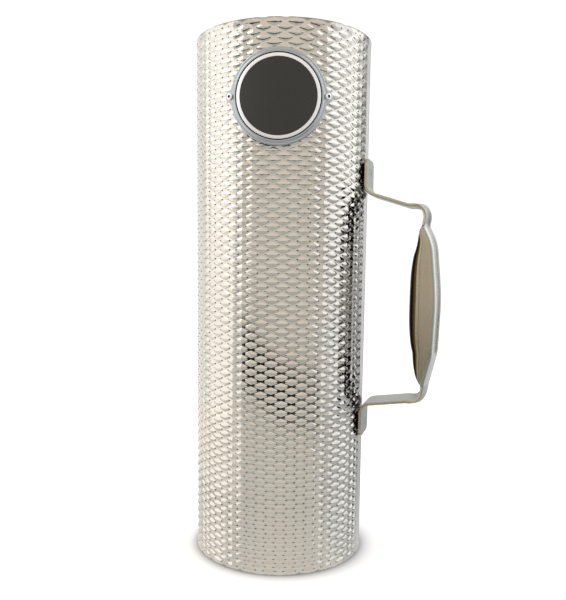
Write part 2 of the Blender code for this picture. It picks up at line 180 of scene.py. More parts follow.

# Handle's painted light and shade: tones along the turn of its section in right angles, as seen and as the
# tube reflects it. The tan and light bands are painted reflections; the dark bands, the black roll and seats,
# and the arms' inner faces where the tube reflects them, are painted shade. The feet, the plain strap, the
# seats, the arms' inner faces and the grip's inside have turns of their own.
FOOT_TONE = 0.47
STRAP_TONE = 0.305
SEAT_TONE = 1.7
ARM_TONE = 2.3
GRIP_TONE = 3.0
FOOT_TO_ARM = (0.002, 0.012)
PLAIN_UNTIL = 0.6 * WING_DEPTH
GRIP_TONE_FROM = 0.5 * WING_DEPTH
HANDLE_PAINTED_LIGHT = (
    (0.0, (1.0, 0.99, 0.97)), (0.25, (1.0, 0.99, 0.97)), (0.36, (0.51, 0.53, 0.525)),
    (0.58, (0.36, 0.38, 0.39)), (0.88, (0.58, 0.52, 0.41)), (1.02, (0.58, 0.52, 0.41)),
    (1.045, (0.31, 0.27, 0.21)), (1.07, (0.68, 0.63, 0.52)), (1.18, (0.64, 0.58, 0.45)),
    (1.205, (0.28, 0.25, 0.10)), (1.24, (0.13, 0.08, 0.02)), (1.40, (0.11, 0.06, 0.016)),
    (1.46, (0.008, 0.007, 0.006)), (1.86, (0.008, 0.007, 0.006)), (2.2, (0.37, 0.38, 0.35)),
    (GRIP_TONE, (0.46, 0.45, 0.43)),
)
HANDLE_REFLECTED_PAINTED_LIGHT = (
    (0.0, (0.66, 0.67, 0.68)), (1.2, (0.66, 0.67, 0.68)), (1.40, (0.80, 0.80, 0.80)),
    (1.9, (0.80, 0.80, 0.80)), (2.1, (0.012, 0.012, 0.012)), (2.35, (0.012, 0.012, 0.012)),
    (2.6, (0.95, 0.95, 0.95)), (GRIP_TONE, (1.0, 1.0, 1.0)),
)

# Badge: round as seen from the front, saddled on the tube. Heights are above its seat.
BADGE_LOW, BADGE_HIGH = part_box("badge_face")
BADGE_Z = (BADGE_LOW.z + BADGE_HIGH.z) / 2
BADGE_ANGLE = math.radians(-76.7)
BADGE_TALL = 0.978
BADGE_WIDE = 1.006
BADGE_BOW = 0.0012
BADGE_SEGMENTS = 320
BADGE_CREASE = math.radians(40)
BEZEL_R = 0.0258
BEZEL_BEVEL = 0.0005
FLANGE_H = 0.0013
FLANGE_ROWS = (0.35, 0.7)
UNDERSIDE_ROWS = (0.66, 0.33)
LIP_FOOT_R = 0.0243
LIP_H = 0.0019
LIP_EDGE_R = 0.00025
LIP_FLAT = 0.0007
LIP_SLOPE_FROM = 0.15
RECESS_R = 0.0229
LEDGE_R = 0.0185
LEDGE_H = 0.0006
GROOVE_ROWS = 4
ARC_POINTS = 5
EAR_OUT = 0.0030
EAR_HALF = 0.0050
EAR_CROWDING = 0.3
FACE_R = 0.0224
FACE_H = 0.0009
BADGE_TOP_H = 0.0020
RING_INNER_R = 0.0206
RING_EDGE_R = 0.0002
RING_EDGE_POINTS = 4
RING_STEP = 0.0003
FIELD_R = RING_INNER_R - 0.00003
FIELD_TOP = BADGE_TOP_H - 0.00004
FIELD_UNDER = BADGE_TOP_H - 0.00025
FIELD_RINGS = 12

# Blind rivets and their mandrels. A stub's broken end is in shares of its radius and of the break's depth.
RIVET_OFFSET = 0.02625
RIVET_ANGLE = math.asin(RIVET_OFFSET / (SEAT_R + FLANGE_H))
RIVET_GAP = 0.00015
RIVET_SEAT = SEAT_R + FLANGE_H + RIVET_GAP
RIVET_HEAD_R = 0.0018
RIVET_EDGE_H = 0.0002
RIVET_DOME_H = 0.0006
RIVET_DOME_POINTS = 12
RIVET_BORE_R = 0.0008
RIVET_MOUTH_R = 0.00012
RIVET_MOUTH_POINTS = 4
RIVET_SHANK_R = 0.0012
RIVET_TAIL = TUBE_R - SHEET_T - RIVET_GAP
RIVET_BULB_R = 0.0018
RIVET_BULB_L = 0.0015
RIVET_BULB_POINTS = 9
RIVET_SEGMENTS = 64
MANDREL_R = 0.0006
MANDREL_CORE = 0.05
MANDREL_DEPTH = 0.0012
MANDREL_BREAK = 0.0002
MANDREL_STUB = ((MANDREL_CORE, 0.6), (0.5, 0.0), (0.9, 0.5))
MANDREL_HEAD_R = 0.0011
MANDREL_HEAD_L = 0.0009

# Grain of the metals
SMEAR_SCALE, SMEAR_DETAIL, GRAIN_DETAIL = 38.0, 3.0, 4.0
GRAIN_SHARE = 0.5
GRAIN_SPAN = (0.3, 0.7)
GRAIN_DEPTH = 0.0002

# Camera, solved from the photograph's outline: azimuths are round the tube's axis, sizes in its pixels
IMAGE_LONG_SIDE = 600
CAMERA_AZIMUTH = math.radians(-73.5)
CAMERA_DISTANCE = 0.4223
CAMERA_HEIGHT = 0.1817
CAMERA_PITCH = 0.1159
CAMERA_ROLL = 0.0117
CAMERA_YAW = -0.0030
CAMERA_NEAR = 0.01
FOCAL_PX = 682.3
PRINCIPAL_BELOW_PX = 34.6
SENSOR = 36.0

# Floor, with a contact shadow that fades out from the tube, and the white backdrop
FLOOR_Z = -0.0001
FLOOR_HALF = 3.0
FLOOR_WHITE = (0.85, 0.85, 0.845)
FLOOR_ROUGHNESS = 0.9
FLOOR_LIFT = 0.55
SHADOW_REACH = 0.0056
SHADOW_DEPTH = 0.64
ROOM_WHITE = (1.0, 0.995, 0.98, 1.0)
ROOM_STRENGTH = 0.76
BACKDROP_STRENGTH = 1.1

# Soft lights: azimuth to the right of the camera in degrees, distance, height, size, power, colour
LIGHT_AIM_Z = 0.15
SOFTBOXES = (
    ("left_softbox", -90, 0.75, 0.45, (0.86, 1.3), 2.3, (1.0, 0.93, 0.82)),
    ("left_high_softbox", -92, 0.60, 0.80, (0.7, 0.5), 1.0, (1.0, 0.95, 0.86)),
    ("right_softbox", 111, 0.80, 0.45, (0.50, 1.2), 0.5, (1.0, 0.985, 0.96)),
    ("front_softbox", -10, 0.75, 0.85, (1.3, 0.9), 0.3, (1.0, 0.82, 0.58)),
)

# Cards that only reflections see: azimuths to the right of the camera in degrees, heights of the lower and
# the upper edge, at both azimuths where they slope, and glow below and, where it differs, above
CARD_R = 2.0
CARD_ROWS, CARD_COLUMNS = 12, 48
DARK, DIM = (0.004, 0.004, 0.004), (0.14, 0.14, 0.14)
ROOM_LOW, ROOM_HIGH = (0.755, 0.71, 0.64), (0.83, 0.77, 0.685)
GROUND = (0.63, 0.635, 0.59)
WALL_TOP = (1.20, 1.20, 1.19)
REFLECTED_CARDS = (
    ("dark_card", (-53, 0), (-0.28, -0.405), (-0.02, -0.175), DARK),
    ("dark_right_card", (0, 22), (-0.405, -0.425), (-0.175, -0.19), DARK),
    ("dim_card", (22, 55), (-0.425, -0.44), (-0.19, -0.21), DIM),
    ("room_card", (-53, 0), (-0.02, -0.175), 0.9, ROOM_LOW, ROOM_HIGH),
    ("room_right_card", (0, 58), (-0.175, -0.21), 0.9, ROOM_LOW, ROOM_HIGH),
    ("high_room_card", (-53, 58), 0.9, 4.3, (0.90, 0.815, 0.71), (0.79, 0.745, 0.68)),
    ("ground_card", (-53, 0), -1.4, (-0.28, -0.405), GROUND),
    ("ground_right_card", (0, 58), -1.4, (-0.405, -0.44), GROUND),
    ("near_ground_card", (-53, 58), -3.0, -1.4, (0.545, 0.555, 0.515)),
    ("mid_ground_card", (-53, 58), -4.6, -3.0, (0.57, 0.575, 0.54), (0.59, 0.60, 0.555)),
    ("deep_ground_card", (-53, 58), -7.0, -4.6, (0.50, 0.51, 0.475), (0.52, 0.53, 0.49)),
    ("left_low_card", (-180, -53), -1.3, -0.35, (1.12, 1.03, 0.90), (1.14, 1.06, 0.94)),
    ("left_ground_card", (-180, -100), -7.0, -1.3, (0.90, 0.84, 0.75)),
    ("left_turn_card", (-100, -74), -7.0, -1.3, (0.76, 0.72, 0.65)),
    ("left_near_card", (-74, -53), -7.0, -1.3, (0.58, 0.57, 0.52)),
    ("left_back_card", (-180, -122), -0.35, 4.3, (1.05, 1.02, 0.97)),
    ("right_ground_card", (58, 180), -7.0, -1.2, (0.54, 0.55, 0.55)),
    ("right_low_card", (58, 180), -1.2, -0.27, (0.38, 0.385, 0.385), (0.64, 0.65, 0.65)),
    ("right_wall_card", (58, 114), -0.27, 0.49, (0.88, 0.88, 0.87), WALL_TOP),
    ("window_card", (60, 114), 0.49, 3.5, WALL_TOP, (1.8, 1.8, 1.78)),
    ("ceiling_card", (50, 180), 3.5, 9.0, (0.50, 0.515, 0.53)),
    ("right_back_card", (114, 142), -0.27, 0.75, (0.06, 0.065, 0.065), (0.32, 0.33, 0.33)),
    ("right_high_card", (114, 142), 0.75, 1.7, (0.45, 0.46, 0.46), (0.70, 0.70, 0.70)),
    ("right_rear_card", (142, 180), -0.27, 0.75, (0.72, 0.72, 0.715), (0.88, 0.88, 0.87)),
)

# The paper round the tube as reflections see it: azimuths, glow close by and further out
PAPER_RADII = (0.05, 0.17)
PAPER_CARDS = (
    ("left_paper_card", (-180, -118), (0.86, 0.82, 0.75), (0.65, 0.62, 0.57)),
    ("left_front_paper_card", (-118, -45), (0.98, 0.925, 0.83), (0.74, 0.70, 0.63)),
    ("paper_card", (-45, 50), (0.86, 0.84, 0.78), (0.60, 0.60, 0.56)),
    ("right_paper_card", (50, 180), (0.70, 0.71, 0.70), (0.52, 0.53, 0.525)),
)


def smooth(edge_low, edge_high, value):
    """A ramp from 0 at the low edge to 1 at the high edge, as three squares less two cubes."""
    t = np.clip((value - edge_low) / (edge_high - edge_low), 0.0, 1.0)
    return t * t * (3 - 2 * t)


def unit(vectors):
    """Vectors brought to a length of one."""
    return vectors / np.maximum(np.linalg.norm(vectors, axis=-1, keepdims=True), TINY)


def quarter_turn(points):
    """Angles from 0 to a right angle."""
    return np.linspace(0.0, math.pi / 2, points)


def add_piece(name, points, faces, material, node, crease=None, normals=None):
    """A piece at the tube's real place, riding on the one body and standing for its node."""
    mesh = bpy.data.meshes.new(name)
    mesh.from_pydata((np.asarray(points) + AXIS).tolist(), [], faces)
    mesh.shade_smooth()
    if crease is not None:
        mesh.set_sharp_from_angle(angle=crease)
    if normals is not None:
        mesh.normals_split_custom_set(normals)
    mesh.materials.append(material)
    piece = bpy.data.objects.new(name, mesh)
    bpy.context.collection.objects.link(piece)
    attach(piece, "root")
    if node:
        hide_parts(node)
    return piece


def add_value(piece, name, values, domain="POINT"):
    """A value at every point or face corner of a piece, for its material to read."""
    attribute = piece.data.attributes.new(name, "FLOAT", domain)
    attribute.data.foreach_set("value", np.ravel(values).astype(np.float32))


def grid_faces(rows, columns, wrap_columns=False, wrap_rows=False):
    """Quads of a grid of points stored row by row, closed round in either direction where asked."""
    i = np.arange(rows if wrap_rows else rows - 1)[:, None]
    j = np.arange(columns if wrap_columns else columns - 1)[None, :]
    i_next = (i + 1) % rows
    j_next = (j + 1) % columns
    quads = np.stack(np.broadcast_arrays(i * columns + j, i * columns + j_next,
                                         i_next * columns + j_next, i_next * columns + j), axis=-1)
    return quads.reshape(-1, 4).tolist()


def turned_over(faces):
    """The same faces, facing the other way."""
    return [face[::-1] for face in faces]


def loop_ends(rows, columns):
    """The two end faces of a grid that is closed round, each as one ring of points."""
    return list(range(columns)), list(range((rows - 1) * columns, rows * columns))


def round_tube(azimuth, z, radius):
    """Points at an azimuth, a height and a distance from the tube's axis."""
    return np.stack([radius * np.cos(azimuth), radius * np.sin(azimuth), z], axis=-1)


def sheet_margin(azimuth):
    """How much of the embossing is there: none along the seam, where the sheet's edges are plain."""
    turn = (azimuth - SEAM_ANGLE + math.pi) % (2 * math.pi) - math.pi
    return smooth(SEAM_HALF, SEAM_HALF + SEAM_FADE, np.abs(turn) * TUBE_R)


def sheet_height(azimuth, z, relief):
    """Height of the sheet over its lands: the relief, and a level plain face along the rims and the seam."""
    rim = smooth(RIM_PLAIN, RIM_FADE, np.minimum(z, TUBE_H - z))
    margin = sheet_margin(azimuth)
    return RIM_RISE * (1 - rim) + (SEAM_RISE * (1 - margin) + RELIEF * relief * margin) * rim


def sheet_cover(azimuth, z):
    """Largest radius that the sheet may have at a place: flattened under the badge and under the feet."""
    limit = np.full_like(azimuth, LAND_R + 2 * RELIEF)
    across = SEAT_R * np.sin(azimuth - BADGE_ANGLE)
    in_front = np.cos(azimuth - BADGE_ANGLE) > 0
    under_badge = in_front & (np.hypot(across, z - BADGE_Z) < BEZEL_R)
    limit[under_badge] = COVERED_R
    facing = np.cos(azimuth)
    beside = (facing > 0) & (np.abs(TUBE_R * np.sin(azimuth)) < STRAP_W / 2)
    lower = (z > LOWER_TIP_Z) & (z < LOWER_BEND_Z)
    upper = (z > UPPER_BEND_Z) & (z < UPPER_TIP_Z)
    under_foot = beside & (lower | upper)
    limit[under_foot] = np.minimum(limit[under_foot], COVERED_R / facing[under_foot])
    return limit


def sheet_wave(azimuth, z):
    """Slow hollows and swellings of a rolled sheet, as a sum of three long sine waves."""
    return WAVE_DEPTH * sum(share * np.sin(around * azimuth + up * z / TUBE_H + start)
                            for share, around, up, start in SHEET_WAVES)


def tile_pattern():
    """A lozenge tile in lattice steps: its own points, their heights, its border and triangles by quadrant.

    From the apex a ridge runs down to a shoulder and a steep tip on either side. The four flat flanks end at
    a corner near the border and at a top or bottom foot. The upper right quadrant has two triangles of the
    flank, one of the tip and four of the land. The others are its mirror images.
    """
    x, y = CORNER_AT
    own = np.array([(0, 0), (SHOULDER_AT, 0), (-SHOULDER_AT, 0), (TIP_AT, 0), (-TIP_AT, 0),
                    (x, y), (-x, y), (-x, -y), (x, -y), (0, TOP_AT), (0, -TOP_AT)])
    height = np.zeros(len(own))
    height[0] = 1.0
    height[SHOULDERS] = SHOULDER_HEIGHT
    border = np.array([(2, 0), (1, 1), (0, 2), (-1, 1), (-2, 0), (-1, -1), (0, -2), (1, -1)])
    # Points 0 to 10 are the tile's own and 11 to 18 its border. A swap gives each point's mirror image.
    side_swap = np.array([0, 2, 1, 4, 3, 6, 5, 8, 7, 9, 10, 15, 14, 13, 12, 11, 18, 17, 16])
    height_swap = np.array([0, 1, 2, 3, 4, 8, 7, 6, 5, 10, 9, 11, 18, 17, 16, 15, 14, 13, 12])
    first = np.array([(0, 1, 5), (0, 5, 9), (1, 3, 5), (3, 11, 5), (11, 12, 5), (5, 12, 9), (12, 13, 9)])
    quadrants = np.stack([first, side_swap[first], side_swap[height_swap[first]], height_swap[first]])
    return own, height, border, quadrants


def tile_middles():
    """Lattice places of the lozenges. Every second column is half a row lower and ends in half tiles."""
    steps = (COLUMN_STEPS, ROW_STEPS)
    even = np.meshgrid(np.arange(0, COLUMNS, 2), np.arange(ROWS), indexing="ij")
    odd = np.meshgrid(np.arange(1, COLUMNS, 2), np.arange(ROWS + 1), indexing="ij")
    even, odd = (np.stack(pair, -1).reshape(-1, 2) * steps for pair in (even, odd))
    return np.concatenate([even + (0, ROW_STEPS // 2), odd])


def tile_lattice(centre, spots, spot_heights, border):
    """Lattice places and heights of all the points, and the numbers of each tile's own and border points.

    The tiles' own points come first. Border points are shared, so each is found by a key: its column times
    a span, plus its row. Heights and apexes vary a little from tile to tile.
    """
    tiles, count = len(centre), len(spots)
    draw = np.random.default_rng(EMBOSS_SEED)
    heights = 1 + RELIEF_SPREAD * draw.standard_normal(tiles)
    drift = np.zeros((tiles, count, 2))
    drift[:, 0] = APEX_SPREAD * draw.standard_normal((tiles, 2))
    around = centre[:, None] + border
    column = around[..., 0] % (COLUMN_STEPS * COLUMNS)
    keys, shared = np.unique(column * KEY_SPAN + around[..., 1] + ROW_STEPS, return_inverse=True)
    lattice = np.concatenate([
        (centre[:, None] + spots + drift).reshape(-1, 2),
        np.stack([keys // KEY_SPAN, keys % KEY_SPAN - ROW_STEPS], axis=-1),
    ])
    relief = np.zeros(len(lattice))
    relief[: tiles * count] = (heights[:, None] * spot_heights).ravel()
    own = np.arange(tiles)[:, None] * count + np.arange(count)
    rim = tiles * count + shared.reshape(tiles, len(border))
    return lattice, relief, own, rim


def face_normals(points, faces):
    """Area-weighted normals of triangles, from the cross of two sides."""
    corner = points[faces]
    return np.cross(corner[..., 1, :] - corner[..., 0, :], corner[..., 2, :] - corner[..., 0, :])


def mixed(own, other, share):
    """Directions mixed by a share and brought to a length of one."""
    return unit((1 - share) * own + share * other)


def lozenge_normals(points, facets, kept, radial):
    """Corner normals of the tiles: flat flanks with eased creases, steep tips, and lands square to the axis.

    A flank's normal is the mean of its two triangles. At the apex and along the ridges it is mixed with its
    mirror neighbours', and at the feet with the tube's own.
    """
    flat = face_normals(points, facets)
    flat[:, 1::2] *= -1
    flat *= kept[..., None, None]
    flank = unit(flat[:, :, 0] + flat[:, :, 1])
    tip = unit(flat[:, :, 2])
    below, beside = [3, 2, 1, 0], [1, 0, 3, 2]
    apex = mixed(flank, unit(flank.sum(1))[:, None], APEX_ROUND)
    shoulder = mixed(flank, unit(flank + flank[:, below]), RIDGE_ROUND)
    top = mixed(flank, unit(flank + flank[:, beside]), FLANK_ROUND)
    ending = mixed(tip, unit(tip + tip[:, below]), TIP_ROUND)
    normals = radial[facets]
    corner_land, top_land = normals[:, :, 5, 0].copy(), normals[:, :, 5, 2].copy()
    corner = mixed(flank, corner_land, FOOT_ROUND)
    normals[:, :, 0] = np.stack([apex, shoulder, corner], axis=2)
    normals[:, :, 1] = np.stack([apex, corner, top], axis=2)
    normals[:, :, 2] = ending[:, :, None]
    normals[:, :, 4, 2] = normals[:, :, 5, 0] = mixed(flank, corner_land, VALLEY_ROUND)
    normals[:, :, 5, 2] = mixed(flank, top_land, VALLEY_ROUND)
    return normals


def sheet_lining(outside, own, rim, kept, radial):
    """The sheet's back: plain triangles from each apex to its border, with normals eased to the tube's."""
    apex = np.broadcast_to(own[:, :1], rim.shape)
    linings = np.stack([apex, np.roll(rim, -1, axis=1), rim], -1)[kept.repeat(2, axis=1)]
    square = unit(face_normals(outside, linings[:, ::-1]))
    return linings, -unit(square[:, None] + LINING_ROUND * radial[linings])


def rim_faces(chain, up, radial):
    """A rim's slanted bevel in quads and its flat cut edge in triangles, along chains of seven points each.

    The same points come again on the sheet's back one set of numbers later, and on the bevel's far edge two.
    """
    back, lip = len(radial), 2 * len(radial)
    here, after = chain[:, :-1], chain[:, 1:]
    slant = np.stack([here, here + lip, after + lip, after], -1).reshape(-1, 4)
    lean = unit(radial[slant % back] + (0.0, 0.0, up))
    edge = np.concatenate([chain + lip, chain[:, [0, 3, 6]] + back], axis=1)
    # Triangles between the lip's points, 0 to 6, and the back's three, 7 to 9
    fan = [(0, 7, 1), (1, 7, 2), (2, 7, 8), (2, 8, 3), (3, 8, 4), (4, 8, 9), (4, 9, 5), (5, 9, 6)]
    ring = edge[:, np.array(fan)].reshape(-1, 3)
    if up > 0:
        slant, lean, ring = slant[:, ::-1], lean[:, ::-1], ring[:, ::-1]
    level = np.broadcast_to((0.0, 0.0, up), (len(ring), 3, 3))
    return slant.tolist() + ring.tolist(), [lean, level]


def make_tube(material):
    """The embossed sheet: lozenge tiles wrapped round the tube, outside and inside, and closed at the rims.

    A tile is a diamond with points of its own and eight border points that it shares with its neighbours.
    Tiles that a rim cuts keep two quadrants.
    """
    centre = tile_middles()
    spots, spot_heights, border, quadrants = tile_pattern()
    lattice, relief, own, rim = tile_lattice(centre, spots, spot_heights, border)
    azimuth = FIRST_COLUMN + lattice[:, 0] * math.pi / COLUMNS
    z = np.clip(lattice[:, 1] * TUBE_H / TOP_STEP, RIM_BEVEL, TUBE_H - RIM_BEVEL)
    z = z + ROW_SHIFT * smooth(RIM_BEVEL, ROW_SHIFT_FADE, np.minimum(z, TUBE_H - z))
    height = sheet_height(azimuth, z, relief)
    radius = np.minimum(LAND_R + height, sheet_cover(azimuth, z)) + sheet_wave(azimuth, z)
    at_rim = np.where(lattice[:, 1] <= 0, -RIM_BEVEL, np.where(lattice[:, 1] >= TOP_STEP, RIM_BEVEL, 0.0))
    outside = round_tube(azimuth, z, radius)
    inside = round_tube(azimuth, z + at_rim, radius - SHEET_T)
    bevel = round_tube(azimuth, z + at_rim, radius - RIM_BEVEL)

    kept = np.ones((len(centre), 4), bool)
    kept[centre[:, 1] == 0, 2:] = False
    kept[centre[:, 1] == TOP_STEP, :2] = False
    facets = np.concatenate([own, rim], axis=1)[:, quadrants]
    radial = unit(outside * (1, 1, 0))
    steep = round_tube(azimuth, z, LAND_R + SLOPE_GAIN * height)
    facet_normals = lozenge_normals(steep, facets, kept, radial)
    facets[:, 1::2] = facets[:, 1::2, :, ::-1].copy()
    facet_normals[:, 1::2] = facet_normals[:, 1::2, :, ::-1].copy()
    linings, lining_normals = sheet_lining(outside, own, rim, kept, radial)
    faces = facets[kept].reshape(-1, 3).tolist() + (linings + len(lattice)).tolist()
    normals = [facet_normals[kept], lining_normals]
    for level, up in ((0, -1.0), (TOP_STEP, 1.0)):
        at = centre[:, 1] == level
        # Across a cut tile: border, tip, shoulder, apex, shoulder, tip, border
        chain = [rim[at, 4], own[at, 4], own[at, 2], own[at, 0], own[at, 1], own[at, 3], rim[at, 0]]
        edge_faces, edge_normals = rim_faces(np.stack(chain, -1), up, radial)
        faces += edge_faces
        normals += edge_normals

    used, flat = np.unique(np.concatenate([np.ravel(face) for face in faces]), return_inverse=True)
    sizes = np.array([len(face) for face in faces])
    faces = [list(part) for part in np.split(flat, np.cumsum(sizes)[:-1])]
    points = np.concatenate([outside, inside, bevel])[used]
    normals = np.concatenate([n.reshape(-1, 3) for n in normals])
    tube = add_piece("embossed_tube", points, faces, material, "body_shell",
                     normals=normals)

    # Painted shade: dark tips and valleys that fade out at the seam, dark rims, a band under the lower ridges
    whole = (centre[:, 1] > 0) & (centre[:, 1] < TOP_STEP)
    tip, painted_valley_shade, none = np.zeros((3, len(lattice)))
    tip[own[whole][:, TIPS]] = 1.0
    tip[own[whole][:, SHOULDERS]] = SHOULDER_PAINTED_SHADE
    tip[own[whole][:, CORNERS]] = CORNER_PAINTED_SHADE
    tip *= sheet_margin(azimuth)
    painted_valley_shade[rim[whole]] = 1.0
    painted_valley_shade *= sheet_margin(azimuth)
    add_value(tube, "tip", np.concatenate([tip, none, tip])[used])
    add_value(tube, "edge", np.tile(at_rim != 0.0, 3)[used])
    add_value(tube, "painted_valley_shade", np.concatenate([painted_valley_shade, none, none])[used])
    add_value(tube, "ridge", painted_ridge_shade(facets.shape, kept, sizes.sum()), "CORNER")
    return tube


def painted_ridge_shade(shape, kept, corners):
    """Painted shade for each face corner of the tube: one just under a lower flank's ridge, zero elsewhere.
    """
    ridge = np.zeros(shape)
    # Quadrants 2 and 3 are the lower ones, and the corners of 3 are in reverse order
    ridge[:, 2, :2, 0] = ridge[:, 2, 0, 1] = 1.0
    ridge[:, 3, :2, 2] = ridge[:, 3, 0, 1] = 1.0
    ridge = ridge[kept].ravel()
    return np.append(ridge, np.zeros(corners - len(ridge)))


def make_seam(material):
    """The tube's weld: a low dome across and fine overlapping ripples along, a little proud of the sheet."""
    along = np.linspace(0.0, TUBE_H, BEAD_ROWS)[:, None]
    across = np.linspace(-1.0, 1.0, BEAD_COLUMNS)[None]
    ripple = np.sin(2 * math.pi * (along / RIPPLE_STEP - RIPPLE_BOW * across**2))
    height = BEAD_H * (1 - across**2) + RIPPLE_H * ripple * (1 - across**2) - BEAD_SINK
    wander = sum(size * np.sin(along / length + start) for size, length, start in BEAD_WANDERS)
    azimuth = SEAM_ANGLE + (across * BEAD_HALF + wander) / LAND_R
    z = np.broadcast_to(along, azimuth.shape)
    wave = sheet_wave(azimuth, z)
    top = round_tube(azimuth, z, LAND_R + SEAM_RISE + height + wave)
    under = round_tube(azimuth, z, LAND_R + SEAM_RISE - BEAD_ROOT + wave)
    loop = np.concatenate([top, under[:, ::-1]], axis=1)
    rows, columns = loop.shape[:2]
    first, last = loop_ends(rows, columns)
    faces = grid_faces(rows, columns, wrap_columns=True) + [first[::-1], last]
    return add_piece("tube_seam", loop.reshape(-1, 3), faces, material, None, BEAD_CREASE)


def filleted(corners):
    """Points along straight runs, with an arc of the given radius at each inner corner."""
    path = [np.array([corners[0][:2]])]
    for before, here, after in zip(corners, corners[1:], corners[2:]):
        point = np.array(here[:2])
        into = point - np.array(before[:2])
        away = np.array(after[:2]) - point
        into /= np.linalg.norm(into)
        away /= np.linalg.norm(away)
        turn = math.atan2(into[0] * away[1] - into[1] * away[0], float(into @ away))
        side = math.copysign(1.0, turn) * np.array([-into[1], into[0]])
        start = point - into * here[2] * math.tan(abs(turn) / 2)
        swing = np.linspace(0.0, abs(turn), BEND_POINTS)[:, None]
        path.append(start + here[2] * (np.sin(swing) * into + (1 - np.cos(swing)) * side))
    path.append(np.array([corners[-1][:2]]))
    return np.concatenate(path)


def strap_path():
    """The handle's side outline as (reach, height) at even steps, which are closer at the tips' corners."""
    path = filleted([
        (0.0, UPPER_TIP_Z),
        (0.0, UPPER_BEND_Z, FOOT_BEND_R),
        (UPPER_KNEE_REACH, UPPER_ARM_Z, KNEE_BEND_R),
        (UPPER_CORNER_REACH, UPPER_ARM_Z, CORNER_BEND_R),
        (UPPER_NECK_REACH, UPPER_NECK_Z, NECK_BEND_R),
        (UPPER_SHOULDER_REACH, UPPER_SHOULDER_Z, SHOULDER_BEND_R),
        (GRIP_REACH, GRIP_MID_Z, GRIP_BEND_R),
        (LOWER_SHOULDER_REACH, LOWER_SHOULDER_Z, SHOULDER_BEND_R),
        (LOWER_NECK_REACH, LOWER_NECK_Z, NECK_BEND_R),
        (LOWER_CORNER_REACH, LOWER_ARM_Z, CORNER_BEND_R),
        (LOWER_KNEE_REACH, LOWER_ARM_Z, KNEE_BEND_R),
        (0.0, LOWER_BEND_Z, FOOT_BEND_R),
        (0.0, LOWER_TIP_Z),
    ])
    run = np.concatenate([[0.0], np.cumsum(np.linalg.norm(np.diff(path, axis=0), axis=1))])
    length = run[-1]
    round_in = FOOT_CORNER_R * (1 - np.cos(quarter_turn(FOOT_CORNER_POINTS)))
    steps = int((length - 2 * FOOT_CORNER_R) / STRAP_STEP)
    middle = np.linspace(FOOT_CORNER_R, length - FOOT_CORNER_R, steps)
    spots = np.concatenate([round_in[:-1], middle, length - round_in[-2::-1]])
    reach, z = np.interp(spots, run, path[:, 0]), np.interp(spots, run, path[:, 1])
    return np.stack([reach, z], axis=1), spots, length


def strap_section(half_width, crown, depth):
    """Half of the strap's outer face across its width, from the middle to the edge, as (across, out) points.

    The crown is a parabola. Past it the sheet turns in round the wing's edge, runs straight, and rolls in.
    A shallow wing uses up only the first stretch of that shape, and its roll turns less far.
    """
    u = np.linspace(0.0, 1.0, CROWN_POINTS)
    across, out = half_width * u, crown * (1 - u**2)
    slope = math.atan2(2 * crown, half_width)
    edge_depth = WING_EDGE_R * math.cos(slope)
    if depth > 0.0:
        end = math.acos(math.cos(slope) - min(depth, edge_depth) / WING_EDGE_R)
        turn = np.linspace(slope, end, WING_EDGE_POINTS)[1:]
        across = np.append(across, half_width + WING_EDGE_R * (np.sin(turn) - math.sin(slope)))
        out = np.append(out, -WING_EDGE_R * (math.cos(slope) - np.cos(turn)))
    if depth > edge_depth:
        roll = ROLL_SHARE * depth
        turned_in = ROLL_TURN * smooth(edge_depth, ROLL_FULL_AT * WING_DEPTH, depth)
        straight = depth - edge_depth - roll * math.sin(min(turned_in, math.pi / 2))
        swing = np.linspace(0.0, turned_in, ROLL_POINTS)
        across = np.append(across, across[-1] - roll * (1 - np.cos(swing)))
        out = np.append(out, out[-1] - straight - roll * np.sin(swing))
    run = np.concatenate([[0.0], np.cumsum(np.hypot(np.diff(across), np.diff(out)))])
    spots = np.linspace(0.0, run[-1], SECTION_POINTS)
    return np.interp(spots, run, across), np.interp(spots, run, out)


def section_turn(across, out, depth, plain, inner):
    """How far the section's loop has turned from its middle, in right angles, to pick the painted light and
    shade.

    The outer face goes from 0 on the crown to 1 on the wing's wall and on round its roll. A cut edge counts
    as a wall, or as the end of the roll. The plain strap and the inner face have the values given.
    """
    turn = np.arctan2(-np.gradient(out), np.gradient(across)) / (math.pi / 2)
    edge = np.full(2 * EDGE_ARC_POINTS, max(1.0, turn[-1]))
    turn = np.maximum(turn, plain * (1 - smooth(0.0, PLAIN_UNTIL, depth)))
    return np.concatenate([turn[-2:0:-1], turn[:-1], edge, np.full(2 * len(turn) - 3, inner), edge])


def strap_loop(across, out):
    """The strap's closed section: outer face, rounded edge, inner face one thickness in, and edge again."""
    across = np.concatenate([-across[:0:-1], across])
    out = np.concatenate([out[:0:-1], out])
    along = unit(np.stack([np.gradient(across), np.gradient(out)], axis=1))
    inward = np.stack([along[:, 1], -along[:, 0]], axis=1)
    face = np.stack([across, out], axis=1)
    r = STRAP_EDGE_R
    turn = quarter_turn(EDGE_ARC_POINTS)[:, None]

    def edge(end, ahead):
        """A rounded edge, as a quarter arc from the outer face and one into the inner face."""
        step = inward[end]
        start = face[end] + step * r
        first = start + r * (np.sin(turn) * ahead - np.cos(turn) * step)
        far = face[end] + step * (STRAP_T - r)
        second = far + r * (np.cos(turn) * ahead + np.sin(turn) * step)
        return np.concatenate([first, second]) - ahead * r

    right = edge(-1, along[-1])
    left = edge(0, -along[0])[::-1]
    inner = (face + inward * STRAP_T)[1:-1][::-1]
    return np.concatenate([face[1:-1], right, inner, left])


def weld_dent(points, mark_z):
    """Depth of a weld mark: a flat-bottomed dent, by a fourth power, less a raised ring, by a square."""
    far = np.hypot(points[..., 1], points[..., 2] - mark_z) / WELD_MARK_R
    ring = np.exp(-((far - WELD_RING_AT) / WELD_RING_WIDE) ** 2)
    return WELD_MARK_DEPTH * (np.exp(-far**4) - WELD_RING_SHARE * ring)


